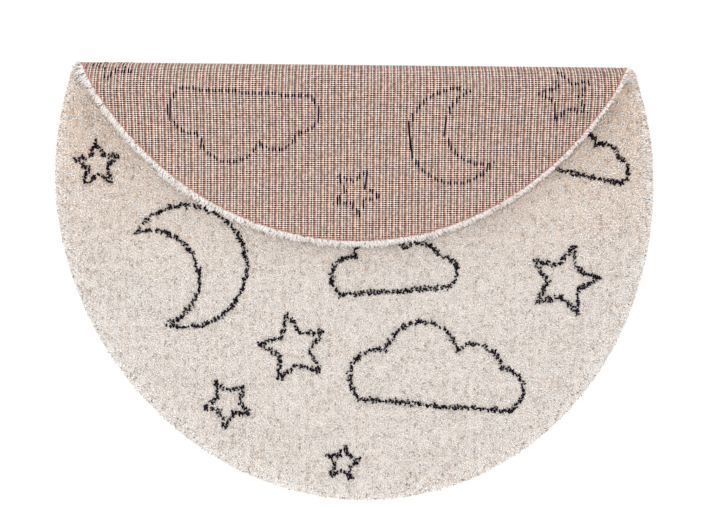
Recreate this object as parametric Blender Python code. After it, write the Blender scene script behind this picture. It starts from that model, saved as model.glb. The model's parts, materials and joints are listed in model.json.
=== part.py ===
"""Round shag rug for a child's room, lying on a floor with its far part folded forward.

The rug is one cloth: a stiff ground weave with long pile on one side. It is worked out flat,
as a round that is a little uneven, and every point is then carried through one fold function.
On the flat stretch the pile faces up. Past the fold the ground weave faces up, pile on pile.

Frame: +X runs along the fold, +Y points to the folded side, +Z is up. The origin is the
middle of the round, on the floor. Sizes are in metres and degrees.
"""

import math
from collections import namedtuple

import bpy
import numpy as np
from mathutils import Vector
from mathutils.geometry import delaunay_2d_cdt

# The round, measured to the ends of its pile
HALF_WIDTH = 0.598
HALF_LENGTH = 0.626
Wave = namedtuple("Wave", "crests size first_crest")
OUTLINE_WAVES = (
    Wave(crests=2, size=0.007, first_crest=122.0),
    Wave(crests=3, size=0.004, first_crest=49.0),
)

# The cloth's thickness, from the back of the ground weave to the tips of the pile
PILE_TOP = 0.024
LUMP_DEPTH = 0.0045
LUMP_SHARPNESS = 1.6

# The rim: the ground weave stops short of the pile's reach, and the pile falls away over it
GROUND_INSET = 0.0135
SHOULDER_INSET = 0.0085
SHOULDER_HEIGHT = 0.014

# Locks of pile that stand out round the rim, each with four sides. A share is of the
# pitch from lock to lock, or for the tip, of the lock's width at its root.
LOCKS = 200
LOCK_SHARE = 0.66
LOCK_UNEVEN_SHARE = 0.14
LOCK_REACH_MIN = 0.003
LOCK_REACH_MAX = 0.0115
LOCK_LEAN = 0.0035
LOCK_TIP_SHARE_MIN = 0.25
LOCK_TIP_SHARE_MAX = 0.60
LOCK_TIP_HEIGHT_MIN = 0.005
LOCK_TIP_HEIGHT_MAX = 0.010
LOCK_SEED = 11

# The fold: where the cloth leaves the floor, and the turns it makes past that line
FOLD_START = 0.1725
FOLD_PATH_END = 0.520
PATH_STEP = 0.001
Turn = namedtuple("Turn", "starts ends degrees")
FOLD_TURNS = (
    Turn(starts=0.000, ends=0.142, degrees=169.0),
    Turn(starts=0.108, ends=0.367, degrees=-19.0),
    Turn(starts=0.136, ends=0.171, degrees=30.0),
)

# Rows of points across the cloth: how far apart they lie in each stretch of its length
Stretch = namedtuple("Stretch", "ends pile_row back_row")
STRETCHES = (
    Stretch(ends=FOLD_START - 0.006, pile_row=0.024, back_row=0.056),
    Stretch(ends=FOLD_START + 0.172, pile_row=0.014, back_row=0.009),
    Stretch(ends=FOLD_START + 0.300, pile_row=0.022, back_row=0.022),
    Stretch(ends=HALF_LENGTH + 0.020, pile_row=0.024, back_row=0.040),
)
PILE_COLUMN = 0.026
BACK_COLUMN = 0.056
PILE_JITTER = 0.004
ROW_MARGIN = 0.45
LUMP_SEED = 7

# Colour of the pile, as linear values
PILE_CREAM = (0.70, 0.61, 0.54, 1.0)
PILE_ROUGHNESS = 0.95


def outline_radius(angle):
    """Distance from the middle of the flat round to the ends of its pile."""
    across = math.cos(angle) / HALF_WIDTH
    along = math.sin(angle) / HALF_LENGTH
    radius = 1.0 / math.hypot(across, along)
    for wave in OUTLINE_WAVES:
        radius += wave.size * math.cos(wave.crests * (angle - math.radians(wave.first_crest)))
    return radius


def smooth_step(position):
    """0 to 1 with level ends, so that a turn starts and stops softly."""
    clipped = np.clip(position, 0.0, 1.0)
    return clipped * clipped * (3.0 - 2.0 * clipped)


def fold_path():
    """Walk the back of the cloth past the fold line: length, distance, height, heading."""
    length = np.arange(0.0, FOLD_PATH_END, PATH_STEP)
    heading = np.zeros_like(length)
    for turn in FOLD_TURNS:
        share = smooth_step((length - turn.starts) / (turn.ends - turn.starts))
        heading += math.radians(turn.degrees) * share
    middle = (heading[1:] + heading[:-1]) / 2.0
    distance = FOLD_START + np.concatenate([[0.0], np.cumsum(np.cos(middle)) * PATH_STEP])
    height = np.concatenate([[0.0], np.cumsum(np.sin(middle)) * PATH_STEP])
    return length, distance, height, heading


FOLD_PATH = fold_path()


def folded(point, above_back):
    """Carry a point of the flat cloth to its place in the folded rug."""
    across, along = point
    past_fold = along - FOLD_START
    if past_fold <= 0.0:
        return Vector((across, along, above_back))
    length, distance, height, heading = FOLD_PATH
    turn = np.interp(past_fold, length, heading)
    return Vector((
        across,
        np.interp(past_fold, length, distance) - math.sin(turn) * above_back,
        np.interp(past_fold, length, height) + math.cos(turn) * above_back,
    ))


def rim_angles(random_draws):
    """Angles of the rim's points: a lock, then a gap, all the way round, a little uneven."""
    pitch = 2.0 * math.pi / LOCKS
    angles = []
    for lock in range(LOCKS):
        starts, ends = random_draws.uniform(-LOCK_UNEVEN_SHARE, LOCK_UNEVEN_SHARE, 2)
        angles.append((lock + starts) * pitch)
        angles.append((lock + LOCK_SHARE + ends) * pitch)
    return angles


def ring(angles, inset):
    """Points on the flat round at a constant distance inside its outline."""
    points = []
    for angle in angles:
        radius = outline_radius(angle) - inset
        points.append((radius * math.cos(angle), radius * math.sin(angle)))
    return points


def is_inside(point, margin):
    """True where a point lies further inside the outline than the margin."""
    angle = math.atan2(point[1], point[0])
    return math.hypot(*point) < outline_radius(angle) - margin


def row_places(spacing_of):
    """Where the rows of points cross the cloth, from the near rim to the far one."""
    places = []
    start = -HALF_LENGTH
    for stretch in STRETCHES:
        spacing = spacing_of(stretch)
        count = max(1, round((stretch.ends - start) / spacing))
        for index in range(count):
            places.append(start + (stretch.ends - start) * index / count)
        start = stretch.ends
    return places


def inner_points(rows, column, margin, jitter, random_draws):
    """Rows of points inside the rim, each row shifted half a column from the last."""
    points = []
    half_count = math.ceil(HALF_WIDTH / column) + 1
    for number, along in enumerate(rows):
        shift = column * 0.5 * (number % 2)
        for index in range(-half_count, half_count + 1):
            moved = random_draws.uniform(-jitter, jitter, 2)
            point = (index * column + shift + moved[0], along + moved[1])
            if is_inside(point, margin):
                points.append(point)
    return points


def cover(rim, inner):
    """Join a rim and the points inside it with triangles that face up."""
    flat = [Vector(point) for point in rim + inner]
    outline = [list(range(len(rim)))]
    found = delaunay_2d_cdt(flat, [], outline, 1, 1e-6)
    corner_of = [originals[0] for originals in found[3]]
    triangles = []
    for face in found[2]:
        corners = [corner_of[corner] for corner in face]
        one, two, three = (flat[corner] for corner in corners)
        if (two - one).cross(three - one) < 0.0:
            corners.reverse()
        triangles.append(corners)
    return triangles


def pile_surface(angles):
    """Lumpy top of the pile: its corners, as flat places with heights, and its triangles."""
    random_draws = np.random.default_rng(LUMP_SEED)
    shoulder = ring(angles, SHOULDER_INSET)
    rows = row_places(lambda stretch: stretch.pile_row)
    margin = SHOULDER_INSET + PILE_COLUMN * ROW_MARGIN
    inner = inner_points(rows, PILE_COLUMN, margin, PILE_JITTER, random_draws)
    dips = random_draws.uniform(0.0, 1.0, len(inner)) ** LUMP_SHARPNESS
    heights = [SHOULDER_HEIGHT] * len(shoulder)
    heights += [PILE_TOP - LUMP_DEPTH * dip for dip in dips]
    return list(zip(shoulder + inner, heights)), cover(shoulder, inner)


def back_surface(angles):
    """Plain back of the ground weave: its corners and its triangles, facing down."""
    edge = ring(angles, GROUND_INSET)
    rows = row_places(lambda stretch: stretch.back_row)
    margin = GROUND_INSET + BACK_COLUMN * ROW_MARGIN
    inner = inner_points(rows, BACK_COLUMN, margin, 0.0, np.random.default_rng(LUMP_SEED))
    triangles = [corners[::-1] for corners in cover(edge, inner)]
    return [(point, 0.0) for point in edge + inner], triangles


def lock_tip(root_starts, root_ends, random_draws):
    """The four corners of a lock's blunt end, level with the floor on its lower side."""
    middle = (root_starts + root_ends) / 2.0
    reach = random_draws.uniform(LOCK_REACH_MIN, LOCK_REACH_MAX)
    lean = random_draws.uniform(-LOCK_LEAN, LOCK_LEAN)
    share = random_draws.uniform(LOCK_TIP_SHARE_MIN, LOCK_TIP_SHARE_MAX)
    top = random_draws.uniform(LOCK_TIP_HEIGHT_MIN, LOCK_TIP_HEIGHT_MAX)
    radius = outline_radius(middle) - SHOULDER_INSET + reach
    outwards = Vector((math.cos(middle), math.sin(middle)))
    sideways = Vector((-outwards.y, outwards.x))
    half_width = radius * (root_ends - root_starts) * share / 2.0
    first = outwards * radius + sideways * (lean - half_width)
    last = outwards * radius + sideways * (lean + half_width)
    return [(first, 0.0), (last, 0.0), (last, top), (first, top)]


def two_triangles(one, two, three, four):
    """Split a four-sided face."""
    return [(one, two, three), (one, three, four)]


def build_cloth():
    """Corners and triangles of the whole cloth, pile, back, rim and locks in one skin."""
    random_draws = np.random.default_rng(LOCK_SEED)
    angles = rim_angles(random_draws)
    pile, pile_triangles = pile_surface(angles)
    back, back_triangles = back_surface(angles)
    corners = pile + back
    first_back = len(pile)
    triangles = list(pile_triangles)
    triangles += [tuple(corner + first_back for corner in face) for face in back_triangles]

    count = len(angles)
    for here in range(count):
        there = (here + 1) % count
        wall = (first_back + here, first_back + there, there, here)
        if here % 2 == 1:
            triangles += two_triangles(*wall)
            continue
        first_tip = len(corners)
        corners += lock_tip(angles[here], angles[there], random_draws)
        tip = tuple(range(first_tip, first_tip + 4))
        for side in range(4):
            after = (side + 1) % 4
            triangles += two_triangles(wall[side], wall[after], tip[after], tip[side])
        triangles += two_triangles(*tip)
    return corners, triangles


def make_material():
    """Cream shag: a plain, very rough yarn."""
    material = bpy.data.materials.new("cream_shag")
    material.use_nodes = True
    shader = material.node_tree.nodes["Principled BSDF"]
    shader.inputs["Base Color"].default_value = PILE_CREAM
    shader.inputs["Roughness"].default_value = PILE_ROUGHNESS
    shader.inputs["Metallic"].default_value = 0.0
    return material


def make_rug():
    """The rug, as one object."""
    corners, triangles = build_cloth()
    mesh = bpy.data.meshes.new("rug")
    places = [folded(point, above_back) for point, above_back in corners]
    mesh.from_pydata(places, [], triangles)
    mesh.validate()
    mesh.shade_smooth()
    mesh.materials.append(make_material())
    rug = bpy.data.objects.new("rug", mesh)
    bpy.context.scene.collection.objects.link(rug)
    return rug


def main():
    for leftover in list(bpy.data.objects):
        bpy.data.objects.remove(leftover, do_unlink=True)
    make_rug()


main()
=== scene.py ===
# %% [markdown]
# # A round shag rug, folded forward on the floor
# The real rug is one cloth. A loom makes a stiff ground weave and ties long curled yarn into it
# on one side. Here the far part has been folded over, so the photograph shows both faces: the
# cream pile on the near part and the woven back on the flap.
# The script works as the maker does. Every piece is made flat first, on the loom's own grid,
# and one fold function then carries all of them to where they lie.

import json
import math
from collections import namedtuple

import bpy
import numpy as np
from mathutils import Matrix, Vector, noise
from mathutils.geometry import delaunay_2d_cdt
from mathutils.kdtree import KDTree

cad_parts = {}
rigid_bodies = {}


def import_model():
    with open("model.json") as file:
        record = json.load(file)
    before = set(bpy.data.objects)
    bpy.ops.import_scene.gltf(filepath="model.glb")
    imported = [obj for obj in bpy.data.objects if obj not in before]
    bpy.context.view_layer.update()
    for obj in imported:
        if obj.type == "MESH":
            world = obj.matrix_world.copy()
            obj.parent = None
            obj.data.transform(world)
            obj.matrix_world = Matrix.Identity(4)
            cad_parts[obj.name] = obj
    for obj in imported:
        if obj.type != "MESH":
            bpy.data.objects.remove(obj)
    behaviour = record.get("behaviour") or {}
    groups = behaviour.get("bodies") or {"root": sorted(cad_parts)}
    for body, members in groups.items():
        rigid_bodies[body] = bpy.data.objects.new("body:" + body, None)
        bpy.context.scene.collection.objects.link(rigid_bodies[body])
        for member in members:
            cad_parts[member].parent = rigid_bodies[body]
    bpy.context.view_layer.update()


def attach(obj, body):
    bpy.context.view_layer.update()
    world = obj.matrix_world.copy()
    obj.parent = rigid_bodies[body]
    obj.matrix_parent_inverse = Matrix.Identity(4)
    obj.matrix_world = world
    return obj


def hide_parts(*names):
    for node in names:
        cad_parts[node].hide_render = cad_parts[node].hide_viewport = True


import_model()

# %% [markdown]
# ## Small helpers
# Colours are written as sRGB hex, as a paint chart gives them, and shaders want linear light.
# One function adds a node to a tree, sets it and links it. The others use it for the few kinds
# of node that come up again and again.

# %% Helpers


def colour(hex_text):
    """Linear RGBA from an sRGB hex colour."""
    channels = []
    for start in (1, 3, 5):
        value = int(hex_text[start:start + 2], 16) / 255.0
        if value <= 0.04045:
            channels.append(value / 12.92)
        else:
            channels.append(((value + 0.055) / 1.055) ** 2.4)
    return (*channels, 1.0)


def add_node(tree, kind, inputs=None, stops=(), **settings):
    """Add a node with its settings. An input is a value, or the socket that feeds it."""
    node = tree.nodes.new(kind)
    for name, value in settings.items():
        setattr(node, name, value)
    for number, (place, hex_text) in enumerate(stops):
        if number < 2:
            stop = node.color_ramp.elements[number]
            stop.position = place
        else:
            stop = node.color_ramp.elements.new(place)
        stop.color = colour(hex_text)
    for name, value in (inputs or {}).items():
        if isinstance(value, bpy.types.NodeSocket):
            tree.links.new(value, node.inputs[name])
        else:
            node.inputs[name].default_value = value
    return node


def add_object(name, data):
    """Put an object with some data into the scene."""
    made = bpy.data.objects.new(name, data)
    bpy.context.scene.collection.objects.link(made)
    return made


def keep_on_points(mesh, name, values):
    """Keep a number or a vector under a name on each point of a mesh."""
    values = np.asarray(values, np.float32)
    kind, field = ("FLOAT_VECTOR", "vector") if values.ndim == 2 else ("FLOAT", "value")
    mesh.attributes.new(name, kind, "POINT").data.foreach_set(field, values.ravel())


def maths(tree, operation, *values):
    """What a math node makes of some values."""
    node = add_node(tree, "ShaderNodeMath", dict(enumerate(values)), operation=operation)
    return node.outputs[0]


def vector_maths(tree, operation, *values):
    """What a math node makes of some vectors or colours."""
    node = add_node(tree, "ShaderNodeVectorMath", dict(enumerate(values)), operation=operation)
    return node.outputs[0]


def moved_range(tree, value, target, source=(0.0, 1.0)):
    """A value carried from a source range to a target range, and held inside it."""
    return add_node(tree, "ShaderNodeMapRange", {
        "Value": value, "From Min": source[0], "From Max": source[1],
        "To Min": target[0], "To Max": target[1]}).outputs[0]


def noise_texture(tree, place, size, detail, roughness=0.5):
    """The outputs of a noise whose patches have a given size."""
    return add_node(tree, "ShaderNodeTexNoise", {
        "Vector": place, "Scale": 1.0 / size, "Detail": detail, "Roughness": roughness}).outputs


def ramp(tree, share, stops):
    """The colour of a ramp at a share from 0 to 1."""
    return add_node(tree, "ShaderNodeValToRGB", {"Fac": share}, stops=stops).outputs["Color"]


def mix(tree, share, first, second):
    """A first colour that gives way to a second as a share goes from 0 to 1."""
    first, second = (colour(part) if isinstance(part, str) else part for part in (first, second))
    node = add_node(tree, "ShaderNodeMix", {0: share, 6: first, 7: second}, data_type="RGBA")
    return node.outputs[2]


def kept_value(tree, name, output):
    """What a mesh keeps under a name, for its material."""
    return add_node(tree, "ShaderNodeAttribute", attribute_name=name).outputs[output]


def add_relief(tree, shader, height, strength, depth, sunk=False):
    """Raise the surface of a material, or sink it, where a value is high."""
    bump = add_node(tree, "ShaderNodeBump", {
        "Height": height, "Strength": strength, "Distance": depth}, invert=sunk)
    tree.links.new(bump.outputs["Normal"], shader.inputs["Normal"])


# %% [markdown]
# ## The round
# The outline is a slightly long ellipse with two soft waves in it, because a rug cut round by
# hand is never a true circle. The radius is measured to the ends of the pile, and the ground
# weave stops a little short of that.

# %% Outline
MM = 0.001
HALF_WIDTH = 598 * MM
HALF_LENGTH = 626 * MM
Wave = namedtuple("Wave", "crests size first_crest")
OUTLINE_WAVES = (
    Wave(crests=2, size=7 * MM, first_crest=122.0),
    Wave(crests=3, size=4 * MM, first_crest=49.0),
)
GROUND_INSET = 13.5 * MM


def outline_radius(angle):
    """Distance from the middle of the flat round to the ends of its pile."""
    radius = 1.0 / np.hypot(np.cos(angle) / HALF_WIDTH, np.sin(angle) / HALF_LENGTH)
    for wave in OUTLINE_WAVES:
        radius = radius + wave.size * np.cos(wave.crests * (angle - math.radians(wave.first_crest)))
    return radius


def from_pile_edge(points):
    """How far points of the flat cloth lie inside the ends of its pile."""
    angle = np.arctan2(points[:, 1], points[:, 0])
    return outline_radius(angle) - np.hypot(points[:, 0], points[:, 1])


def from_ground_edge(points):
    """How far points of the flat cloth lie inside the ground weave's edge."""
    return from_pile_edge(points) - GROUND_INSET


def ring(spacing, inset):
    """Evenly spaced points round the flat cloth, a constant distance inside its outline."""
    count = round(2.0 * math.pi * HALF_WIDTH / spacing)
    angle = np.arange(count) * 2.0 * math.pi / count
    radius = outline_radius(angle) - inset
    return np.column_stack([radius * np.cos(angle), radius * np.sin(angle)])


# %% [markdown]
# ## The fold
# A stiff cloth doesn't crease. It rises off the floor, turns round a soft loop and comes to
# rest on its own pile. Each row of the table is one turn, with where it starts and ends along
# the cloth. Walking along the cloth and adding the turns up gives its path.

# %% Fold
FOLD_START = 172.5 * MM
PATH_END = 560 * MM
PATH_STEP = 1 * MM
Turn = namedtuple("Turn", "starts ends degrees")
FOLD_TURNS = (
    Turn(starts=0, ends=142 * MM, degrees=169.0),
    Turn(starts=108 * MM, ends=367 * MM, degrees=-19.0),
    Turn(starts=136 * MM, ends=171 * MM, degrees=30.0),
)

path_length = np.arange(0.0, PATH_END, PATH_STEP)
path_heading = np.zeros_like(path_length)
for turn in FOLD_TURNS:
    share = np.clip((path_length - turn.starts) / (turn.ends - turn.starts), 0.0, 1.0)
    path_heading += math.radians(turn.degrees) * share * share * (3.0 - 2.0 * share)
middle_heading = (path_heading[1:] + path_heading[:-1]) / 2.0
path_along = FOLD_START + np.concatenate([[0.0], np.cumsum(np.cos(middle_heading)) * PATH_STEP])
path_height = np.concatenate([[0.0], np.cumsum(np.sin(middle_heading)) * PATH_STEP])


def folded(flat):
    """Carry points (across, along, height above the back) to their places in the folded rug."""
    past_fold = flat[:, 1] - FOLD_START
    heading = np.interp(past_fold, path_length, path_heading)
    along = np.interp(past_fold, path_length, path_along)
    height = np.interp(past_fold, path_length, path_height)
    near = past_fold <= 0.0
    along[near] = flat[near, 1]
    along -= np.sin(heading) * flat[:, 2]
    height += np.cos(heading) * flat[:, 2]
    return np.column_stack([flat[:, 0], along, height])


print("fold crest", round(float(path_height.max()) / MM, 1), "mm high")

# %% [markdown]
# ## Making cloth flat
# A face of the cloth is a set of points inside a rim, joined by Delaunay triangles. Rows of
# points lie close together only where the cloth bends. A closed piece is two such faces with
# a wall between their rims. It keeps its flat place in an attribute, so that a woven pattern
# follows the cloth round the fold.

# %% Flat cloth
FLAT_ATTRIBUTE = "laid_flat"
FLOOR_GAP = 0.3 * MM
FILL_INSIDE_RIM = 1
SAME_PLACE = 1e-7
Rows = namedtuple("Rows", "ends spacing")


def even_columns(spacing):
    """Places of evenly spaced columns across the whole cloth."""
    count = math.ceil(HALF_WIDTH / spacing)
    return np.arange(-count, count + 1) * spacing


def rows_of_points(rows, start, columns, margin, shift=0.0):
    """Points of a flat face, row by row, that lie inside the ground's edge by a margin."""
    points = []
    number = 0
    for stretch in rows:
        count = max(1, round((stretch.ends - start) / stretch.spacing))
        for index in range(count):
            along = start + (stretch.ends - start) * index / count
            across = columns + shift * (number % 2)
            points.append(np.column_stack([across, np.full_like(across, along)]))
            number += 1
        start = stretch.ends
    points = np.vstack(points)
    return points[from_ground_edge(points) > margin]


def cover(rim, inner):
    """Triangles that fill a rim, with the inner points as corners, all facing up."""
    flat = [Vector(point) for point in np.vstack([rim, inner])]
    found = delaunay_2d_cdt(flat, [], [list(range(len(rim)))], FILL_INSIDE_RIM, SAME_PLACE)
    corner_of = np.array([originals[0] for originals in found[3]])
    faces = corner_of[np.array(found[2])]
    places = np.array(flat)
    one, two, three = (places[faces[:, corner]] for corner in range(3))
    first, second = two - one, three - one
    down = first[:, 0] * second[:, 1] - first[:, 1] * second[:, 0] < 0.0
    faces[down] = faces[down][:, ::-1]
    return faces


def closed_piece(name, rim, upper, lower, top_height, bottom_height):
    """A closed piece of flat cloth: a top, a bottom and the wall between their rims."""
    top = np.vstack([rim, upper])
    bottom = np.vstack([rim, lower])
    corners = np.vstack([
        np.column_stack([top, top_height(top)]),
        np.column_stack([bottom, bottom_height(bottom)]),
    ])
    here = np.arange(len(rim))
    there = np.roll(here, -1)
    below = len(top)
    faces = np.vstack([
        cover(rim, upper),
        cover(rim, lower)[:, ::-1] + below,
        np.column_stack([below + here, below + there, there]),
        np.column_stack([below + here, there, here]),
    ])
    mesh = bpy.data.meshes.new(name)
    mesh.from_pydata(corners.tolist(), [], faces.tolist())
    keep_on_points(mesh, FLAT_ATTRIBUTE, corners)
    mesh.shade_smooth()
    return add_object(name, mesh)


def fold_piece(piece, lowest=FLOOR_GAP):
    """Fold a piece that was made flat. Nothing on it may sink into the floor."""
    places = np.empty(len(piece.data.vertices) * 3)
    piece.data.vertices.foreach_get("co", places)
    moved = folded(places.reshape(-1, 3))
    moved[:, 2] = np.maximum(moved[:, 2], lowest)
    piece.data.vertices.foreach_set("co", moved.ravel())
    piece.data.update()
    piece.data.calc_loop_triangles()
    print(piece.name, len(piece.data.loop_triangles), "triangles")


# %% [markdown]
# ## Ground weave
# The back of the rug is the side of the weave with no pile. Its columns run along the rug and
# repeat every 12.6 mm: a column of dark weft knots, a cream one, a second dark one, and a
# salmon warp stripe. The sheet is 2.5 mm thick. Where it shows, its ribs are real relief, three
# points to a rib, and the knots between them are left to the material, which sinks them by bump
# and paints them near black: dark yarn with painted shade of the hollows between the ribs.

# %% Ground weave sheet
COLUMN_REPEAT = 12.6 * MM
KNOT_ROW = 4.1 * MM
GROUND_THICK = 2.5 * MM
RIB_SHARES = (0.165, 0.350, 0.535, 0.850)
RIB_DEPTHS = (0.6 * MM, 0.0, 0.6 * MM, 0.0)
RIB_START = 20 * MM
RIM_STEP = 5 * MM
PLAIN_COLUMN = 50 * MM
PLAIN_MARGIN = 10 * MM
BACK_MARGIN = 2 * MM
RIB_MARGIN = 1.5 * MM
BEND_FROM = FOLD_START - 10 * MM
BEND_TO = FOLD_START + 172 * MM

back_rows = (
    Rows(ends=BEND_FROM, spacing=60 * MM),
    Rows(ends=BEND_TO, spacing=6 * MM),
    Rows(ends=HALF_LENGTH, spacing=12 * MM),
)
plain_rows = (
    Rows(ends=BEND_FROM, spacing=60 * MM),
    Rows(ends=BEND_TO, spacing=7 * MM),
    Rows(ends=HALF_LENGTH, spacing=25 * MM),
)


def plain_points():
    """Widely spaced points, for a face of the cloth that doesn't show."""
    return rows_of_points(plain_rows, -HALF_LENGTH, even_columns(PLAIN_COLUMN), PLAIN_MARGIN,
                          shift=PLAIN_COLUMN / 2.0)


def ribbed(points):
    """Height of the back at each point: ribs, with the knot columns sunk between them."""
    depth = np.interp(points[:, 0] / COLUMN_REPEAT, RIB_SHARES, RIB_DEPTHS, period=1.0)
    return depth * np.clip((points[:, 1] - FOLD_START) / RIB_START, 0.0, 1.0)


repeats = even_columns(COLUMN_REPEAT)
ribs = (repeats[:, None] + np.array(RIB_SHARES) * COLUMN_REPEAT).ravel()
back = np.vstack([
    rows_of_points(back_rows[:1], -HALF_LENGTH, even_columns(PLAIN_COLUMN), BACK_MARGIN),
    rows_of_points(back_rows[1:], BEND_FROM, ribs, RIB_MARGIN),
])
ground = closed_piece("ground_weave", ring(RIM_STEP, GROUND_INSET), plain_points(), back,
                      lambda points: np.full(len(points), GROUND_THICK), ribbed)
fold_piece(ground)

# %% [markdown]
# ## Woven cotton, from the back
# The pattern is worked out from real sizes. The flat place, divided by the column repeat and
# the knot row, gives two shares that run from 0 to 1 across each repeat. One ramp colours the
# columns. Two pairs of ramps then say where the brown threads and the dark knots lie on them.
# The knots' near black is dark yarn together with painted shade of the sunk hollows between ribs.
# Each stitch has its own tone and has faded by its own amount. Slow noise makes the columns
# wander and streaks them along their length, as handling does.

# %% Weave material
WEAVE_STOPS = (
    (0.00, "#F0E9E4"), (0.06, "#CBC0B8"), (0.10, "#B39F95"), (0.25, "#B39F95"),
    (0.29, "#EAE2DC"), (0.41, "#EAE2DC"), (0.46, "#B89F92"), (0.62, "#B38B79"),
    (0.70, "#B97F6B"), (0.87, "#BC8571"), (0.92, "#D5CAC2"), (1.00, "#F0E9E4"),
)
THREAD_STOPS = ((0.66, "#DADADA"), (0.72, "#C0C0C0"), (0.88, "#C0C0C0"), (0.94, "#DADADA"))
FADED_COLOUR = "#D9C1B2"
MOST_FADED = 0.55
# Near black of the knots: dark yarn with painted shade of the hollows between the ribs.
KNOT_AND_HOLLOW_SHADE_COLOUR = "#1C0604"
THREAD_COLOUR = "#50291F"


def bands(*edges):
    """Stops of white bands on black. Each band begins, is full, begins to fade and ends."""
    return [(place, shade) for band in edges
            for place, shade in zip(band, ("#000000", "#FFFFFF", "#FFFFFF", "#000000"))]


KNOT_SHADE_STOPS = bands((0.01, 0.05, 0.27, 0.31), (0.40, 0.44, 0.72, 0.76))
KNOT_SHADE_ROW_STOPS = bands((0.01, 0.04, 0.64, 0.67))
THREAD_ROW_STOPS = bands((0.04, 0.08, 0.46, 0.50))
YARN_LAYERS = (
    (THREAD_STOPS, THREAD_ROW_STOPS, THREAD_COLOUR),
    (KNOT_SHADE_STOPS, KNOT_SHADE_ROW_STOPS, KNOT_AND_HOLLOW_SHADE_COLOUR),
)
LAYER_STRENGTHS = (0.84, 1.0)
STITCHES_A_REPEAT = 3.0
STITCH_SHADES = (0.68, 1.16)
WANDER_SIZE = 45 * MM
WANDER_REACH = (1.2 * MM, 1.0 * MM, 0.0)
NOISE_MIDDLE = (0.5, 0.5, 0.5)
NOISE_RANGE = (0.3, 0.7)
STREAK_WIDTH = 5 * MM
STREAK_LENGTH = 38 * MM
STREAK_SHADES = (0.86, 1.10)
KNOT_SINKS = 0.7 * MM


def new_material(name, roughness, shine=0.25, sheen=0.0):
    """A material with a plain rough shader. Gives its tree and its shader as well."""
    material = bpy.data.materials.new(name)
    material.use_nodes = True
    shader = material.node_tree.nodes["Principled BSDF"]
    shader.inputs["Roughness"].default_value = roughness
    shader.inputs["Specular IOR Level"].default_value = shine
    shader.inputs["Sheen Weight"].default_value = sheen
    print("material", name)
    return material, material.node_tree, shader


def counted(tree, place, across, along):
    """A place on the cloth, counted in steps across it and along it."""
    return add_node(tree, "ShaderNodeMapping", {
        "Vector": place, "Scale": (1.0 / across, 1.0 / along, 1.0)}).outputs[0]


material, tree, shader = new_material("woven_cotton_ground", 0.92, shine=0.08, sheen=0.03)
flat = kept_value(tree, FLAT_ATTRIBUTE, "Vector")
drift = noise_texture(tree, flat, WANDER_SIZE, detail=3.0)["Color"]
centred = vector_maths(tree, "SUBTRACT", drift, NOISE_MIDDLE)
wandered = vector_maths(tree, "MULTIPLY_ADD", centred, WANDER_REACH, flat)
repeats = counted(tree, wandered, COLUMN_REPEAT, KNOT_ROW)
within = vector_maths(tree, "FRACTION", repeats)
share = add_node(tree, "ShaderNodeSeparateXYZ", {0: within}).outputs

stitches = vector_maths(tree, "MULTIPLY", repeats, (STITCHES_A_REPEAT, 1.0, 1.0))
stitch = vector_maths(tree, "FLOOR", stitches)
own = add_node(tree, "ShaderNodeTexWhiteNoise", {"Vector": stitch}).outputs
own_parts = add_node(tree, "ShaderNodeSeparateColor", {0: own["Color"]}).outputs

fading = moved_range(tree, own_parts["Blue"], (0.0, MOST_FADED))
faded = mix(tree, fading, ramp(tree, share["X"], WEAVE_STOPS), FADED_COLOUR)
streaks = counted(tree, flat, STREAK_WIDTH, STREAK_LENGTH)
streak = noise_texture(tree, streaks, 1.0, detail=3.0)["Fac"]
shade = maths(tree, "MULTIPLY", moved_range(tree, streak, STREAK_SHADES, NOISE_RANGE),
              moved_range(tree, own_parts["Green"], STITCH_SHADES))
cloth = vector_maths(tree, "MULTIPLY", faded, shade)

strength = moved_range(tree, own["Value"], LAYER_STRENGTHS)
for across_stops, along_stops, yarn in YARN_LAYERS:
    laid = maths(tree, "MULTIPLY", ramp(tree, share["X"], across_stops),
                 ramp(tree, share["Y"], along_stops))
    uneven = maths(tree, "MULTIPLY", laid, strength)
    cloth = mix(tree, uneven, cloth, yarn)
tree.links.new(cloth, shader.inputs["Base Color"])
add_relief(tree, shader, uneven, 0.6, KNOT_SINKS, sunk=True)
ground.data.materials.append(material)

# %% [markdown]
# ## The drawing
# Dark yarn is tied in along thin lines, about 11 mm wide, so the drawing is in the pile and not
# printed on it. The motifs are plain sky shapes for a child's room: clouds, stars and moons.
# Each is worked out from a centre, a size and a turn. Points every 2 mm along the lines are
# enough to ask of any tuft how far it is from the nearest line.

# %% Drawing
LINE_STEP = 2 * MM
STAR_POINTS = 5
STAR_WAIST = 0.47
MOON_BITE = 0.62
MOON_BITE_RADIUS = 0.80
TOUCHING = 0.01 * MM
Puff = namedtuple("Puff", "along up radius")
CLOUD_PUFFS = (
    Puff(-0.33, 0.13, 0.15),
    Puff(-0.09, 0.25, 0.20),
    Puff(0.20, 0.19, 0.16),
    Puff(0.36, 0.11, 0.12),
)
CLOUD_BODY = 0.16
Motif = namedtuple("Motif", "shape across along size turn")
MOTIFS = (
    Motif("moon", -0.335, -0.170, 0.120, 200.0),
    Motif("cloud", 0.160, -0.440, 0.360, -4.0),
    Motif("cloud", 0.080, -0.215, 0.260, 5.0),
    Motif("star", -0.120, -0.330, 0.068, 12.0),
    Motif("star", 0.415, -0.190, 0.070, -14.0),
    Motif("star", -0.250, -0.440, 0.048, 30.0),
    Motif("star", -0.020, -0.555, 0.034, -8.0),
    Motif("star", -0.512, 0.030, 0.044, 5.0),
    Motif("cloud", 0.440, 0.020, 0.200, -12.0),
    Motif("cloud", -0.215, 0.330, 0.300, 3.0),
    Motif("moon", 0.190, 0.410, 0.090, -20.0),
    Motif("star", 0.400, 0.330, 0.052, 22.0),
    Motif("star", 0.000, 0.520, 0.046, -10.0),
    Motif("star", -0.470, 0.270, 0.040, 15.0),
)


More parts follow.
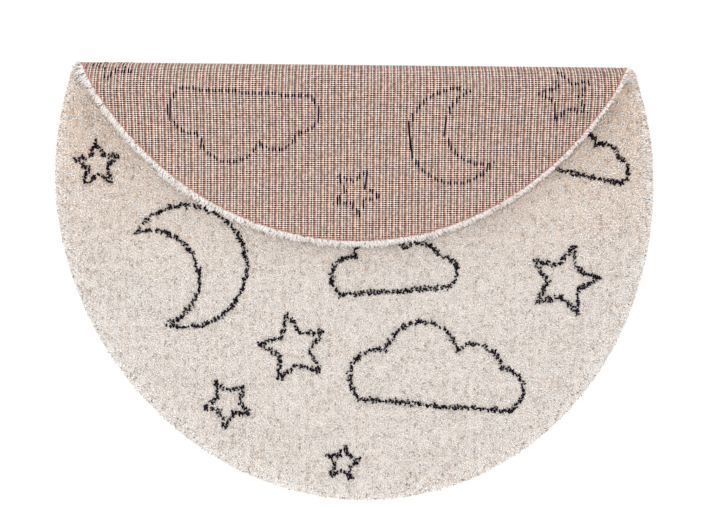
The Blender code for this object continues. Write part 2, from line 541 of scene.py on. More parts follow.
def along_line(corners, closed=True):
    """Points every step along a line through some corners."""
    points = []
    last = len(corners) if closed else len(corners) - 1
    for number in range(last):
        start = np.array(corners[number])
        end = np.array(corners[(number + 1) % len(corners)])
        count = max(1, math.ceil(np.linalg.norm(end - start) / LINE_STEP))
        points += [start + (end - start) * index / count for index in range(count)]
    return points


def circle(middle, radius):
    """Points every step round a circle."""
    count = math.ceil(2.0 * math.pi * radius / LINE_STEP)
    angles = [2.0 * math.pi * index / count for index in range(count)]
    return [np.array(middle) + radius * np.array([math.cos(a), math.sin(a)]) for a in angles]


def star(size):
    """The outline of a star whose points reach a given size."""
    corners = []
    for number in range(2 * STAR_POINTS):
        radius = size * (STAR_WAIST if number % 2 else 1.0)
        angle = math.pi / 2.0 + number * math.pi / STAR_POINTS
        corners.append((radius * math.cos(angle), radius * math.sin(angle)))
    return along_line(corners)


def moon(size):
    """The outline of a disc with a smaller disc bitten out of its side."""
    bite = np.array([size * MOON_BITE, 0.0])
    bite_radius = size * MOON_BITE_RADIUS
    outer = [p for p in circle((0.0, 0.0), size) if np.linalg.norm(p - bite) > bite_radius]
    inner = [p for p in circle(bite, bite_radius) if np.linalg.norm(p) < size]
    return outer + inner


def cloud(size):
    """The outline of overlapping puffs, above a level base line."""
    first = CLOUD_PUFFS[0].along * size
    last = CLOUD_PUFFS[-1].along * size
    points = []
    for puff in CLOUD_PUFFS:
        for point in circle((puff.along * size, puff.up * size), puff.radius * size):
            covered = point[1] < 0.0
            covered |= point[1] < CLOUD_BODY * size and first < point[0] < last
            for other in CLOUD_PUFFS:
                middle = np.array([other.along, other.up]) * size
                covered |= np.linalg.norm(point - middle) < other.radius * size - TOUCHING
            if not covered:
                points.append(point)
    base = [point[0] for point in points if point[1] < 2.0 * LINE_STEP]
    return points + along_line([(min(base), 0.0), (max(base), 0.0)], closed=False)


SHAPES = {"star": star, "moon": moon, "cloud": cloud}
drawn = []
for motif in MOTIFS:
    turned = math.radians(motif.turn)
    cosine, sine = math.cos(turned), math.sin(turned)
    turning = np.array([[cosine, -sine], [sine, cosine]])
    for point in SHAPES[motif.shape](motif.size):
        drawn.append(turning @ point + (motif.across, motif.along))
print(len(MOTIFS), "motifs,", round(len(drawn) * LINE_STEP, 2), "m of line")

drawing = KDTree(len(drawn))
for number, point in enumerate(drawn):
    drawing.insert((point[0], point[1], 0.0), number)
drawing.balance()


def from_drawing(points):
    """Distance from points of the flat cloth to the nearest drawn line."""
    return np.array([drawing.find((point[0], point[1], 0.0))[2] for point in points])


# %% [markdown]
# ## Yarn as small templates
# Whatever repeats thousands of times starts as a few template meshes with very few faces: a
# yarn end is a three-sided tube, cut blunt. Each corner keeps how far it is from the root, as a
# share of the length. Geometry Nodes then picks a template for each knot, turns it and sets its
# size.

# %% Templates
NOT_ALONG_YARN = Vector((0.31, 0.17, 0.94))
Template = namedtuple("Template", "corners faces from_root")


def tube(path, radii, sides):
    """A closed tube along some points."""
    path = [Vector(point) for point in path]
    last = len(path) - 1
    corners, faces, from_root = [], [], []
    for number in range(last + 1):
        direction = (path[min(last, number + 1)] - path[max(0, number - 1)]).normalized()
        sideways = direction.cross(NOT_ALONG_YARN).normalized()
        upwards = sideways.cross(direction)
        for side in range(sides):
            angle = 2.0 * math.pi * side / sides
            offset = sideways * math.cos(angle) + upwards * math.sin(angle)
            corners.append(path[number] + offset * radii[number])
            from_root.append(number / last)
    for number in range(last):
        for side in range(sides):
            here = number * sides + side
            there = number * sides + (side + 1) % sides
            faces.append((here, here + sides, there + sides, there))
    faces.append(tuple(range(sides)))
    faces.append(tuple(last * sides + side for side in reversed(range(sides))))
    return Template(corners, faces, from_root)


def template_object(name, templates, collection):
    """One mesh object that holds some templates, for instances only."""
    corners, faces, from_root = [], [], []
    for template in templates:
        first = len(corners)
        corners += template.corners
        from_root += template.from_root
        faces += [tuple(corner + first for corner in face) for face in template.faces]
    mesh = bpy.data.meshes.new(name)
    mesh.from_pydata(corners, [], faces)
    mesh.shade_smooth()
    keep_on_points(mesh, "from_root", from_root)
    collection.objects.link(bpy.data.objects.new(name, mesh))


# %% [markdown]
# ## One node tree ties everything in
# Tufts, edge stitches and the dark floats on the back are all small yarns set on knots. One
# Geometry Nodes tree serves them. It takes a mesh of bare points with an angle, a tilt and a
# size on each, and ends in Realize Instances and Set Material, because an export drops
# instances. The result is read back as a plain mesh, still flat, and is then folded.

# %% Tying tree
TREE_INPUTS = {
    "Knots": "Geometry",
    "Templates": "Collection",
    "Turn spread": "Float",
    "Size spread": "Float",
    "Seed": "Int",
    "Yarn": "Material",
}
MANY = 10000


def knot_value(tree, name, kind="FLOAT"):
    """What each knot carries under a name."""
    node = add_node(tree, "GeometryNodeInputNamedAttribute", {"Name": name}, data_type=kind)
    return node.outputs["Attribute"]


def drawn_number(tree, least, most, seed):
    """A number drawn for each knot."""
    node = add_node(tree, "FunctionNodeRandomValue", {2: least, 3: most, "Seed": seed})
    return node.outputs[1]


def tying_tree():
    """Node tree that sets a template on each knot. Its inputs carry the sizes."""
    tree = bpy.data.node_groups.new("tie_yarn_on_knots", "GeometryNodeTree")
    for name, kind in TREE_INPUTS.items():
        tree.interface.new_socket(name, in_out="INPUT", socket_type="NodeSocket" + kind)
    tree.interface.new_socket("Tied", in_out="OUTPUT", socket_type="NodeSocketGeometry")
    given = add_node(tree, "NodeGroupInput").outputs
    seed, turn_spread, size_spread = (
        given[name] for name in ("Seed", "Turn spread", "Size spread"))

    templates = add_node(tree, "GeometryNodeCollectionInfo", {
        "Collection": given["Templates"], "Separate Children": True, "Reset Children": True})
    pick = add_node(tree, "FunctionNodeRandomValue", {4: 0, 5: MANY, "Seed": seed},
                    data_type="INT")
    least_turn = maths(tree, "MULTIPLY", turn_spread, -1.0)
    turn = drawn_number(tree, least_turn, turn_spread, seed)
    euler = add_node(tree, "ShaderNodeCombineXYZ", {
        "Y": knot_value(tree, "tilt"), "Z": maths(tree, "ADD", knot_value(tree, "angle"), turn)})
    rotation = add_node(tree, "FunctionNodeEulerToRotation", {0: euler.outputs[0]})
    least_size = maths(tree, "SUBTRACT", 1.0, size_spread)
    most_size = maths(tree, "ADD", 1.0, size_spread)
    grow = drawn_number(tree, least_size, most_size, maths(tree, "ADD", seed, 1.0))
    scale = add_node(tree, "ShaderNodeVectorMath", {
        0: knot_value(tree, "size", "FLOAT_VECTOR"), "Scale": grow}, operation="SCALE")
    placed = add_node(tree, "GeometryNodeInstanceOnPoints", {
        "Points": given["Knots"], "Instance": templates.outputs[0], "Pick Instance": True,
        "Instance Index": pick.outputs[2], "Rotation": rotation.outputs[0],
        "Scale": scale.outputs[0]})
    toned = add_node(tree, "GeometryNodeStoreNamedAttribute", {
        "Geometry": placed.outputs[0], "Name": "tone",
        "Value": drawn_number(tree, 0.0, 1.0, seed)}, data_type="FLOAT", domain="INSTANCE")
    real = add_node(tree, "GeometryNodeRealizeInstances", {0: toned.outputs[0]})
    finished = add_node(tree, "GeometryNodeSetMaterial", {
        "Geometry": real.outputs[0], "Material": given["Yarn"]})
    add_node(tree, "NodeGroupOutput", {0: finished.outputs[0]})
    return tree


TYING = tying_tree()
INPUT_OF = {item.name: item.identifier for item in TYING.interface.items_tree
            if item.in_out == "INPUT"}
print("tying tree with", len(TYING.nodes), "nodes")


def knot_table(places, height, angle=0.0, tilt=0.0, size=(1.0, 1.0, 1.0)):
    """Knots at flat places. Any other value is one number for all, or one for each knot."""
    height, angle, tilt, *size = (
        np.broadcast_to(value, len(places)) for value in (height, angle, tilt, *size))
    return {
        "place": np.column_stack([places, height]),
        "angle": angle,
        "tilt": tilt,
        "size": np.column_stack(size),
    }


def tie(name, knots, templates, yarn, turn_spread=0.0, size_spread=0.0, seed=1):
    """Tie templates on the knots of a table, as one flat mesh object."""
    mesh = bpy.data.meshes.new(name + "_knots")
    mesh.vertices.add(len(knots["place"]))
    mesh.vertices.foreach_set("co", knots["place"].astype(np.float32).ravel())
    for key in ("angle", "tilt", "size"):
        keep_on_points(mesh, key, knots[key])
    loom = add_object(name + "_loom", mesh)
    modifier = loom.modifiers.new("tie", "NODES")
    modifier.node_group = TYING
    inputs = {"Templates": templates, "Turn spread": turn_spread, "Size spread": size_spread,
              "Seed": seed, "Yarn": yarn}
    for key, value in inputs.items():
        modifier[INPUT_OF[key]] = value
    settled = bpy.context.evaluated_depsgraph_get()
    tied = bpy.data.meshes.new_from_object(loom.evaluated_get(settled))
    tied.name = name
    loom.modifiers.clear()
    bpy.data.objects.remove(loom)
    return add_object(name, tied)


# %% [markdown]
# ## Pile yarn
# The pile is undyed heathered yarn, loosely twisted and left curled by washing. Its strands run
# from near white to tan, each strand one tone, so the tone comes from a number that the node
# tree leaves on each tuft. Towards its root each strand gets painted shade, darker and warmer,
# for the shade and warm bounce light deep in the pile, painted stronger towards the fold. The
# flap's fringe gets a greyer, darker copy of the same yarn as painted shade, with no root shade.
# The drawing's yarn is dyed nearly black and has hardly any shine.

# %% Yarn materials
CREAM_STOPS = (
    (0.00, "#C4AD9A"), (0.06, "#D7C9BF"), (0.14, "#E3DCD7"), (0.30, "#EBE6E3"),
    (1.00, "#F4F1EF"),
)
# Painted shade: the same yarn, greyer and darker, for the locks that hang over the flap's edge.
FRINGE_SHADE_STOPS = ((0.00, "#D7CEC7"), (0.10, "#E3DCD7"), (1.00, "#ECE7E4"))
DARK_STOPS = ((0.00, "#100C16"), (0.60, "#19131F"), (1.00, "#2A2230"))
# Painted shade: each strand darker and warmer at its root, more so towards the fold.
PAINTED_ROOT_SHADE_COLOURS = ("#FDFBF9", "#F2D9C2")
ROOT_SHADE_SHARE = 0.6
PAINTED_WARMTH_SPAN = (-0.21, 0.14)
TERRACOTTA_STOPS = ((0.00, "#AC6C54"), (1.00, "#CB8F79"))
FIBRE_SIZE = 1.8 * MM
EDGE_FIBRE_SIZE = 1.0 * MM
FIBRE_SHADES = (0.90, 1.06)
FIBRE_DEPTH = 0.5 * MM


def near_fold(tree, place):
    """A share that rises from 0 to 1 towards the fold, where the painted warm shade is strongest.
    """
    parts = add_node(tree, "ShaderNodeSeparateXYZ", {0: place}).outputs
    return moved_range(tree, parts["Y"], (0.0, 1.0), PAINTED_WARMTH_SPAN)


def pile_yarn(name, stops, fibre_size=FIBRE_SIZE, painted_root_shade=None, sheen=0.15, shine=0.25):
    """Loose yarn: one tone a strand, broken up by its fibres, with painted shade at the roots if
    given.
    """
    material, tree, shader = new_material(name, 0.95, shine=shine, sheen=sheen)
    shader.inputs["Sheen Roughness"].default_value = 0.6
    strand = ramp(tree, kept_value(tree, "tone", "Fac"), stops)
    place = add_node(tree, "ShaderNodeTexCoord").outputs["Object"]
    fibres = noise_texture(tree, place, fibre_size, detail=2.0)["Fac"]
    yarn = vector_maths(tree, "MULTIPLY", strand,
                        moved_range(tree, fibres, FIBRE_SHADES, NOISE_RANGE))
    # Painted shade at the root of each strand, warmer towards the fold.
    if painted_root_shade:
        root = mix(tree, near_fold(tree, place), *painted_root_shade)
        from_root = kept_value(tree, "from_root", "Fac")
        above = moved_range(tree, from_root, (0.0, 1.0), (0.0, ROOT_SHADE_SHARE))
        yarn = vector_maths(tree, "MULTIPLY", yarn, mix(tree, above, root, "#FFFFFF"))
    tree.links.new(yarn, shader.inputs["Base Color"])
    add_relief(tree, shader, fibres, 0.5, FIBRE_DEPTH)
    return material


cream_yarn = pile_yarn("undyed_curled_pile_yarn", CREAM_STOPS, painted_root_shade=PAINTED_ROOT_SHADE_COLOURS)
fringe_yarn_painted_shade = pile_yarn("undyed_yarn_at_cut_edge", FRINGE_SHADE_STOPS)
dark_yarn = pile_yarn("dyed_dark_pile_yarn", DARK_STOPS, sheen=0.01, shine=0.04)
edge_yarn = pile_yarn("terracotta_overcast_yarn", TERRACOTTA_STOPS, EDGE_FIBRE_SIZE)

# %% [markdown]
# ## Edge stitches
# The ground weave was cut round and overcast, so that it doesn't fray. Each stitch comes out of
# the back, wraps round the cut edge and goes down into the pile. A shallow slant tells it apart
# from the weave.

# %% Edge stitches
STITCH_SPACING = 3.3 * MM
STITCH_GAP = 0.1 * MM
STITCH_RADIUS = 0.85 * MM
BAR_SIDES = 4
STITCH_PATH = (
    (-3.9, -1.1, 0.72),
    (-1.3, -0.4, 0.60),
    (0.3, 0.1, 0.95),
    (0.6, 0.5, 2.1),
    (-1.2, 0.9, 3.1),
)

collection = bpy.data.collections.new("stitch_templates")
path = [Vector(point) * MM for point in STITCH_PATH]
radii = [STITCH_RADIUS] * len(path)
template_object("stitch", [tube(path, radii, BAR_SIDES)], collection)
places = ring(STITCH_SPACING, GROUND_INSET)
knots = knot_table(places, 0.0, angle=np.arctan2(places[:, 1], places[:, 0]))
edge_stitches = tie("edge_stitches", knots, collection, edge_yarn,
                    turn_spread=math.radians(12.0), size_spread=0.12, seed=3)
fold_piece(edge_stitches, lowest=STITCH_GAP)

# %% [markdown]
# ## Dark floats on the back
# A tuft of dark yarn shows on the back as a short float under its knot. Floats lie only in the
# knot columns, so the drawing steps along the weave there as a row of thin dashes.

# %% Dark floats
FLOAT_COLUMNS = (0.165, 0.535)
FLOAT_REACH = 3.9 * MM
FLOAT_WIDTH = 2.2 * MM
FLOAT_HEIGHT = 0.35 * MM
FLOAT_GAP = 0.05 * MM
FLOAT_THICK = 0.8 * MM
FLOAT_MARGIN = 4 * MM
FLOAT_PATH = ((0.0, -0.5, 0.0), (0.0, -0.38, 0.0), (0.0, 0.38, 0.0), (0.0, 0.5, 0.0))
FLOAT_RADII = (0.35, 1.0, 1.0, 0.35)

collection = bpy.data.collections.new("float_templates")
template_object("float", [tube(FLOAT_PATH, FLOAT_RADII, BAR_SIDES)], collection)
rows = np.arange(-HALF_LENGTH, HALF_LENGTH, KNOT_ROW)
first_column = math.floor(-HALF_WIDTH / COLUMN_REPEAT)
places, lengths = [], []
for number in range(first_column, -first_column + 1):
    for share in FLOAT_COLUMNS:
        across = (number + share) * COLUMN_REPEAT
        column = np.column_stack([np.full_like(rows, across), rows])
        near = from_drawing(column) < FLOAT_REACH
        near &= from_ground_edge(column) > FLOAT_MARGIN
        edges = np.flatnonzero(np.diff(np.concatenate([[0], near.astype(int), [0]])))
        for start, end in zip(edges[::2], edges[1::2]):
            places.append((across, rows[start:end].mean()))
            lengths.append((end - start) * KNOT_ROW)
knots = knot_table(np.array(places), FLOAT_HEIGHT, size=(FLOAT_WIDTH, lengths, FLOAT_THICK))
back_floats = tie("drawing_back_floats", knots, collection, dark_yarn,
                  turn_spread=math.radians(8.0), size_spread=0.10, seed=5)
fold_piece(back_floats, lowest=FLOAT_GAP)

# %% [markdown]
# ## Pile mat
# Under its curled ends the pile is a dense mat. It is one closed slab on the ground weave, with
# soft clumps on top, that falls away to the rim. Where the rug lies, the mat reaches nearly to
# the ends of the pile and its foot nearly to the floor. Where the flap lies on it, and inside
# the loop, the yarn is pressed and the mat goes to the pile's full height, with no loose ends.
# Its material is the same yarn with its broken fibres, painted darker and more tan as painted
# shade of the pile's depth, and warmer towards the fold.

# %% Pile mat
MAT_FOOT = 2.4 * MM
MAT_TOP = 15.5 * MM
MAT_PRESSED_TOP = 22.5 * MM
MAT_INSET = 5.5 * MM
LYING_MAT_INSET = 1.0 * MM
LYING_TO = FOLD_START + 70 * MM
LYING_BLEND = 40 * MM
MAT_RIM_FOOT = 5.0 * MM
LYING_RIM_FOOT = 1.2 * MM
MAT_RIM_TOP = 9.5 * MM
MAT_SHOULDER = 20 * MM
PRESSED_BLEND = 24 * MM
HIDDEN_DEPTH = 38 * MM
CLUMP_HEIGHT = 1.8 * MM
CLUMP_SIZE = 19 * MM
CLUMP_LAYER = 3.0
MAT_STEP = 8 * MM
MAT_ROW = 8.5 * MM
MAT_COLUMN = 9 * MM
MAT_OVERHANG = 4 * MM
MAT_ROUGHNESS = 0.7
MAT_DEPTH = 2.0 * MM
# The tan low end is painted shade of the pile's depth; the fibre pattern is the yarn's own.
MAT_FIBRE_SHADE_STOPS = ((0.32, "#B6A596"), (0.50, "#DDD4CC"), (0.68, "#F0EBE6"))
MAT_PAINTED_WARM_SHADES = ("#FFFFFF", "#F8E6D6")

turned_over = int(np.argmax(path_along))


def depth_of_cover(points):
    """How far points of the flat cloth lie inside the part that the flap hides."""
    own = from_ground_edge(points)
    above = FOLD_START + np.interp(
        -points[:, 1], -path_along[turned_over:], path_length[turned_over:])
    opposite = from_ground_edge(np.column_stack([points[:, 0], above]))
    lying = points[:, 1] < FOLD_START
    return np.where(lying, np.minimum(own, opposite), own)


def lying_share(points):
    """1 where the rug lies and in the loop's near half, falling to 0 on the flap."""
    return np.clip(0.5 - (points[:, 1] - LYING_TO) / LYING_BLEND, 0.0, 1.0)


def smooth_noise(points, size, layer):
    """Smooth noise from -1 to 1 at points of the flat cloth."""
    return np.array([noise.noise((x / size, y / size, layer)) for x, y in points])


def mat_height(points):
    """Height of the mat's top above the back, where nothing presses it."""
    clump = smooth_noise(points, CLUMP_SIZE, CLUMP_LAYER)
    inside = np.clip((from_pile_edge(points) - MAT_INSET) / MAT_SHOULDER, 0.0, 1.0)
    rise = np.sin(inside * math.pi / 2.0)
    return MAT_RIM_TOP + (MAT_TOP + CLUMP_HEIGHT * clump - MAT_RIM_TOP) * rise


def mat_top(points):
    """Height of the mat's top, with the pressed part as well."""
    pressed = np.clip((depth_of_cover(points) - HIDDEN_DEPTH) / PRESSED_BLEND + 1.0, 0.0, 1.0)
    return mat_height(points) + (MAT_PRESSED_TOP - MAT_TOP) * pressed


def make_pile_mat():
    """The closed mat of yarn on the ground weave. It bulges a little past the cut edge."""
    rim = ring(MAT_STEP, MAT_INSET)
    lying = lying_share(rim)
    rim += (ring(MAT_STEP, LYING_MAT_INSET) - rim) * lying[:, None]

    def mat_foot(points):
        foot = np.full(len(points), MAT_FOOT)
        foot[:len(rim)] = MAT_RIM_FOOT + (LYING_RIM_FOOT - MAT_RIM_FOOT) * lying
        return foot

    upper = rows_of_points((Rows(ends=HALF_LENGTH, spacing=MAT_ROW),), -HALF_LENGTH,
                           even_columns(MAT_COLUMN), -MAT_OVERHANG, shift=MAT_COLUMN / 2.0)
    lower = np.vstack([plain_points(), ring(MAT_STEP, GROUND_INSET)])
    return closed_piece("pile_mat", rim, upper, lower, mat_top, mat_foot)


material, tree, shader = new_material("matted_undyed_pile_yarn", 1.0)
flat = kept_value(tree, FLAT_ATTRIBUTE, "Vector")
fibres = noise_texture(tree, flat, FIBRE_SIZE, 3.0, MAT_ROUGHNESS)["Fac"]
place = add_node(tree, "ShaderNodeTexCoord").outputs["Object"]
# Painted warm shade, stronger towards the fold.
depth = mix(tree, near_fold(tree, place), *MAT_PAINTED_WARM_SHADES)
yarn = vector_maths(tree, "MULTIPLY", ramp(tree, fibres, MAT_FIBRE_SHADE_STOPS), depth)
tree.links.new(yarn, shader.inputs["Base Color"])
add_relief(tree, shader, fibres, 1.0, MAT_DEPTH)

pile_mat = make_pile_mat()
pile_mat.data.materials.append(material)
fold_piece(pile_mat, lowest=MAT_FOOT)

# %% [markdown]
# ## Tufts
# Tufts stand on the loom's own grid: one in every half repeat of the columns, on every knot row.
# Each has two curled yarn ends. They lean into clumps of a few centimetres, and at the rim they
# splay outwards over the cut edge. Knots on the drawing get dark, thicker tufts instead. Knots
# that are well covered get no ends, for the mat stands in for them. Extra rows close the rim:
# short ends where the rug lies, and long locks that hang over the edge of the flap.

# %% Tufts
TUFT_COLUMN = COLUMN_REPEAT / 2.0
TUFT_JITTER = 1.1 * MM
TUFT_MARGIN = 1.5 * MM
TUFT_VARIANTS = 14
END_SIDES = 3
END_RADII = (1.00 * MM, 1.15 * MM, 0.85 * MM)
END_STEP = 4.7 * MM
END_PITCHES = (82.0, 60.0)
PITCH_SPREAD = 14.0
HEADING_SPREAD = 62.0
CURL_SHARES = (0.3, 1.0)
ENDS_APART = 1.8 * MM
ROOT_LENGTH = 1 * MM
ROOT_JITTER = 1 * MM
ROOT_DEPTH = 2.5 * MM
CLUMP_MIDDLES = (0.2, 0.8)
CLUMP_PULL = 0.9
FLOW_SIZE = 90 * MM
FLOW_LAYERS = (0.0, 7.0)
FLOW_PULL = 0.8
RIM_PULL = 2.6
ANGLE_SPREAD = 95.0
LESS_SPREAD_AT_RIM = 50.0
RIM_WIDTH = 26 * MM
RIM_SPLAY = 52.0
RIM_GROWTH = 0.60
LYING_SPLAY = 26.0
LYING_GROWTH = 0.10
RimRow = namedtuple("RimRow", "inset height tilt growth spread")
RIM_ROWS = (
    RimRow(-9.5 * MM, 5.0 * MM, 52.0, 0.80, 60.0),
    RimRow(-7.0 * MM, 6.5 * MM, 36.0, 0.95, 80.0),
    RimRow(-4.0 * MM, 7.5 * MM, 28.0, 1.00, 95.0),
    RimRow(-0.8 * MM, 8.5 * MM, 24.0, 1.00, 95.0),
)
FLAP_ROWS = (
    RimRow(0.8 * MM, 2.8 * MM, 80.0, 1.20, 22.0),
    RimRow(2.0 * MM, 5.0 * MM, 68.0, 1.60, 28.0),
    RimRow(5.0 * MM, 9.0 * MM, 54.0, 2.50, 40.0),
    RimRow(8.0 * MM, 12.0 * MM, 46.0, 2.90, 40.0),
)
LYING_ROW_SPACING = 3.8 * MM
RIM_ROW_SPACING = 2.8 * MM
RIM_TILT_JITTER = 7.0
RIM_WIDENING = 1.10
FLAP_WIDENING = 1.55
LOCK_TUFTS = 6
LOCK_PULL = 36.0
LOCK_GROWTH_SPREAD = 0.14
FLAP_GROWTH_LEFT = 0.25
FLAP_GROWTH_RIGHT = -0.20
FLAP_GROWTH_FROM = 60 * MM
FLAP_GROWTH_TO = 380 * MM
FLAP_GROWTH_AFTER = 120 * MM
DARK_REACH = 3.7 * MM
DARK_WANDER = 0.50
DARK_WANDER_SIZE = 15 * MM
DARK_WANDER_LAYER = 9.0
DARK_THICKNESS = 1.95
DARK_GROWTH = 1.15
PILE_BANDS = 5
PILE_SEED = 23


def curled_end(random, start):
    """The path of one yarn end, from its root."""
    heading = random.uniform(-HEADING_SPREAD, HEADING_SPREAD)
    curl = random.choice([-1.0, 1.0]) * random.uniform(*CURL_SHARES) * HEADING_SPREAD
    points = [Vector(start)]
    for pitch in END_PITCHES:
        pitch = math.radians(pitch + random.uniform(-PITCH_SPREAD, PITCH_SPREAD))
        level = END_STEP * math.cos(pitch)
        turned = math.radians(heading)
        points.append(points[-1] + Vector((
            level * math.cos(turned), level * math.sin(turned), END_STEP * math.sin(pitch))))
        heading += curl
    return points


def tuft_templates(kind, thickness):
    """Variants of a tuft with two curled ends."""
    random = np.random.default_rng(PILE_SEED)
    collection = bpy.data.collections.new(kind + "_templates")
    radii = [radius * thickness for radius in END_RADII]
    for number in range(TUFT_VARIANTS):
        ends = []
        for side in (-1.0, 1.0):
            start = (random.uniform(-0.5, 0.5) * ROOT_JITTER, side * ENDS_APART, -ROOT_LENGTH)
            ends.append(tube(curled_end(random, start), radii, END_SIDES))
        template_object("%s_%02d" % (kind, number), ends, collection)
    return collection


def tuft_places():
    """Where the knots are, with a little of the loom's unevenness."""
    random = np.random.default_rng(PILE_SEED)
    columns = np.arange(-HALF_WIDTH, HALF_WIDTH, TUFT_COLUMN)
    rows = np.arange(-HALF_LENGTH, HALF_LENGTH, KNOT_ROW)
    across, along = np.meshgrid(columns, rows)
    places = np.column_stack([across.ravel(), along.ravel()])
    places[:, 1] += np.tile(np.arange(len(columns)) % 2 * KNOT_ROW / 2.0, len(rows))
    places += random.uniform(-TUFT_JITTER, TUFT_JITTER, places.shape)
    inside = from_ground_edge(places) > TUFT_MARGIN
    covered = depth_of_cover(places) > HIDDEN_DEPTH
    return places[inside & ~covered]


def clump_lean(places, random):
    """Unit-sized lean of each tuft towards the middle of its clump."""
    cells = np.floor(places / CLUMP_SIZE).astype(int)
    middles = {}
    lean = np.zeros_like(places)
    for number, cell in enumerate(map(tuple, cells)):
        if cell not in middles:
            middles[cell] = (np.array(cell) + random.uniform(*CLUMP_MIDDLES, 2)) * CLUMP_SIZE
        lean[number] = middles[cell] - places[number]
    return lean / (CLUMP_SIZE / 2.0)


def tuft_knots(places):
    """Angle, tilt and size for each tuft."""
    random = np.random.default_rng(PILE_SEED + 1)
    inside = from_ground_edge(places)
    rim = np.clip(1.0 - inside / RIM_WIDTH, 0.0, 1.0)
    flow = np.column_stack([smooth_noise(places, FLOW_SIZE, layer) for layer in FLOW_LAYERS])
    outward = places / np.linalg.norm(places, axis=1, keepdims=True)
    lean = (CLUMP_PULL * clump_lean(places, random) + FLOW_PULL * flow
            + RIM_PULL * rim[:, None] * outward)
    spread = np.radians(ANGLE_SPREAD - LESS_SPREAD_AT_RIM * rim)
    angle = np.arctan2(lean[:, 1], lean[:, 0]) + random.uniform(-1.0, 1.0, len(places)) * spread
    lying = lying_share(places)
    splay = RIM_SPLAY + (LYING_SPLAY - RIM_SPLAY) * lying
    growth = RIM_GROWTH + (LYING_GROWTH - RIM_GROWTH) * lying
    return knot_table(places, mat_height(places) - ROOT_DEPTH, angle, np.radians(splay) * rim,
                      size=(1.0, 1.0, 1.0 + growth * rim))


def rim_row_knots(row, on_flap, random):
    """A row of tufts over the cut edge. On the flap they gather in locks, longer to the left."""
    places = ring(RIM_ROW_SPACING if on_flap else LYING_ROW_SPACING, GROUND_INSET + row.inset)
    places = places[(places[:, 1] > LYING_TO) == on_flap]
    count = len(places)
    outward = np.arctan2(places[:, 1], places[:, 0])
    heading = random.uniform(-row.spread, row.spread, count)
    growth = np.ones(count)
    if on_flap:
        aside = (np.abs(places[:, 0]) - FLAP_GROWTH_FROM) / (FLAP_GROWTH_TO - FLAP_GROWTH_FROM)
        past = (places[:, 1] - FOLD_START) / FLAP_GROWTH_AFTER
        extra = np.where(places[:, 0] < 0.0, FLAP_GROWTH_LEFT, FLAP_GROWTH_RIGHT)
        growth += extra * np.clip(aside, 0.0, 1.0) * np.clip(past, 0.0, 1.0)
        number = np.arange(count) + random.integers(LOCK_TUFTS)
        lock = number // LOCK_TUFTS
        from_middle = number % LOCK_TUFTS / (LOCK_TUFTS - 1.0) - 0.5
        locks = lock.max() + 1
        lock_heading = random.uniform(-row.spread, row.spread, locks)[lock]
        heading = heading / 2.0 + lock_heading - LOCK_PULL * from_middle
        growth *= random.uniform(1.0 - LOCK_GROWTH_SPREAD, 1.0 + LOCK_GROWTH_SPREAD, locks)[lock]
    wide = FLAP_WIDENING if on_flap else RIM_WIDENING
    tilt = row.tilt + random.uniform(-RIM_TILT_JITTER, RIM_TILT_JITTER, count)
    return knot_table(places, row.height, outward + np.radians(heading), np.radians(tilt),
                      size=(wide, wide, row.growth * growth))


def chosen(table, which):
    """Some of the knots of a table."""
    return {key: values[which] for key, values in table.items()}


tufts = tuft_templates("tuft", 1.0)
dark_tufts = tuft_templates("dark_tuft", DARK_THICKNESS)
knot_places = tuft_places()
knots = tuft_knots(knot_places)
wander = smooth_noise(knot_places, DARK_WANDER_SIZE, DARK_WANDER_LAYER)
dark = from_drawing(knot_places) < DARK_REACH * (1.0 + DARK_WANDER * wander)
knots["size"][dark, 2] *= DARK_GROWTH
order = np.argsort(knot_places[:, 1], kind="stable")
cream = order[~dark[order]]
pile_pieces = []
for number, band in enumerate(np.array_split(cream, PILE_BANDS)):
    pile_pieces.append(tie("pile_band_%d" % (number + 1), chosen(knots, band), tufts,
                           cream_yarn, size_spread=0.14, seed=31 + number))
drawing_pile = tie("drawing_pile", chosen(knots, dark), dark_tufts, dark_yarn,
                   size_spread=0.14, seed=61)

rim_random = np.random.default_rng(PILE_SEED + 2)
for name, rows, on_flap in (("pile_rim", RIM_ROWS, False), ("flap_rim", FLAP_ROWS, True)):
    tables = [rim_row_knots(row, on_flap, rim_random) for row in rows]
    together = {key: np.concatenate([table[key] for table in tables]) for key in tables[0]}
    pile_pieces.append(tie(name, together, tufts, fringe_yarn_painted_shade if on_flap else cream_yarn,
                           size_spread=0.10, seed=71))
for piece in (*pile_pieces, drawing_pile):
    fold_piece(piece)
print(len(knot_places), "tufts,", int(dark.sum()), "of them dark")

for collection in list(bpy.data.collections):
    if collection.name.endswith("_templates"):
        for template in list(collection.objects):
            bpy.data.objects.remove(template)
        bpy.data.collections.remove(collection)

# %% [markdown]
# ## Floor, light and camera
# The rug lies on a plain pale floor. A large soft light hangs overhead, a second stands at the
# near side, and a low one beyond the fold lifts its shadow. Bright surroundings fill the rest.
# The camera looks straight down from 1.7 m.

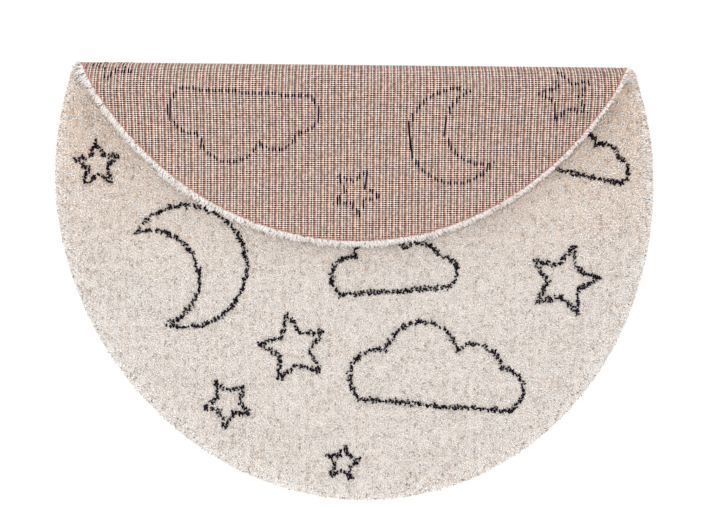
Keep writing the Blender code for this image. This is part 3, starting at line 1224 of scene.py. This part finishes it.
# %% Floor, light and camera
FLOOR_SIZE = 8.0
FLOOR_DROP = 0.4 * MM
FLOOR_COLOUR = "#FAF9F8"
SoftLight = namedtuple("SoftLight", "name place aim size power")
LIGHTS = (
    SoftLight("key", (-0.5, 0.0, 3.3), (0.0, 0.0, 0.0), 2.2, 49.0),
    SoftLight("fill", (0.4, -2.5, 2.3), (0.0, -0.1, 0.0), 2.4, 31.0),
    SoftLight("back", (0.0, 2.6, 1.4), (0.0, 0.2, 0.0), 2.0, 29.0),
)
SURROUNDINGS = 0.84
CAMERA_PLACE = (-0.0005, -0.1414, 1.70)
CAMERA_ROLL = 0.6
CAMERA_LENS = 43.1
CAMERA_SENSOR = 36.0

half = FLOOR_SIZE / 2.0
floor_mesh = bpy.data.meshes.new("floor")
floor_mesh.from_pydata(
    [(-half, -half, -FLOOR_DROP), (half, -half, -FLOOR_DROP),
     (half, half, -FLOOR_DROP), (-half, half, -FLOOR_DROP)], [], [(0, 1, 2, 3)])
floor = add_object("floor", floor_mesh)
floor_paint, floor_tree, floor_shader = new_material("matt_white_studio_floor", 0.9)
floor_shader.inputs["Base Color"].default_value = colour(FLOOR_COLOUR)
floor_mesh.materials.append(floor_paint)

for light in LIGHTS:
    source = bpy.data.lights.new(light.name, "AREA")
    source.size = light.size
    source.energy = light.power
    lamp = add_object(light.name, source)
    lamp.location = light.place
    direction = Vector(light.aim) - Vector(light.place)
    lamp.rotation_euler = direction.to_track_quat("-Z", "Y").to_euler()

world = bpy.data.worlds.new("bright_studio")
world.use_nodes = True
sky = world.node_tree.nodes["Background"]
sky.inputs["Color"].default_value = colour("#FFFFFF")
sky.inputs["Strength"].default_value = SURROUNDINGS
bpy.context.scene.world = world
bpy.context.scene.view_settings.view_transform = "Standard"

camera = bpy.data.cameras.new("overhead")
camera.sensor_width = CAMERA_SENSOR
camera.lens = CAMERA_LENS
viewer = add_object("overhead", camera)
viewer.location = CAMERA_PLACE
viewer.rotation_euler = (0.0, 0.0, math.radians(CAMERA_ROLL))
bpy.context.scene.camera = viewer
print(len(LIGHTS), "lights, camera at", CAMERA_PLACE)

# %% [markdown]
# ## Attaching the pieces
# Every piece rides on the one body and stands in for the one solid, which is hidden. The ground
# weave is the sheet of cloth, and all the rest is made on it.

# %% Finish
for piece in (ground, edge_stitches, back_floats, pile_mat, *pile_pieces, drawing_pile):
    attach(piece, "root")
    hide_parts("rug")
